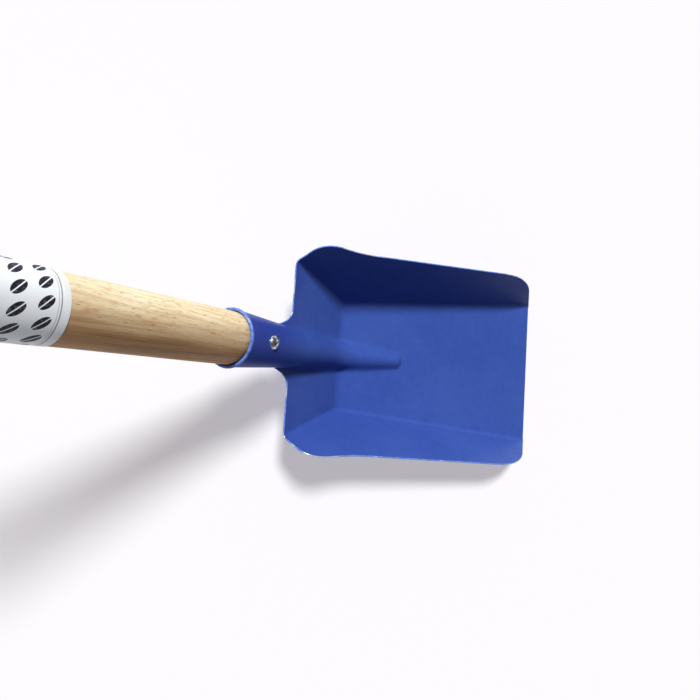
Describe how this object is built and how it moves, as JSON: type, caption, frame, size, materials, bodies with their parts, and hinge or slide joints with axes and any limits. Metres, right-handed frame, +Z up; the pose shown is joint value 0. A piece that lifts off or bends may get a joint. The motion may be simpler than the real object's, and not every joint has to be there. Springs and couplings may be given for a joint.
{
  "type": "grain scoop shovel",
  "caption": "Hand-held scoop shovel: pressed, blue painted steel blade with raised sides and back, and a straight beech handle in its rolled socket.",
  "frame": {"origin": "middle of the flat underside of the blade's floor, halfway between the rear crease and the front edge", "axes": "+X towards the blade's front edge, +Y to the left of the person holding it, +Z up out of the scoop"},
  "size_m": [0.3965, 0.1336, 0.2011],
  "materials": {
    "blue_paint": "gloss",
    "beech": "satin",
    "bright_steel": "bright",
    "label_paper": "matt"
  },
  "bodies": {
    "root": {"scoop_blade": "blue_paint", "handle": "beech", "socket_screw": "bright_steel", "handle_label": "label_paper"}
  },
  "joints": []
}
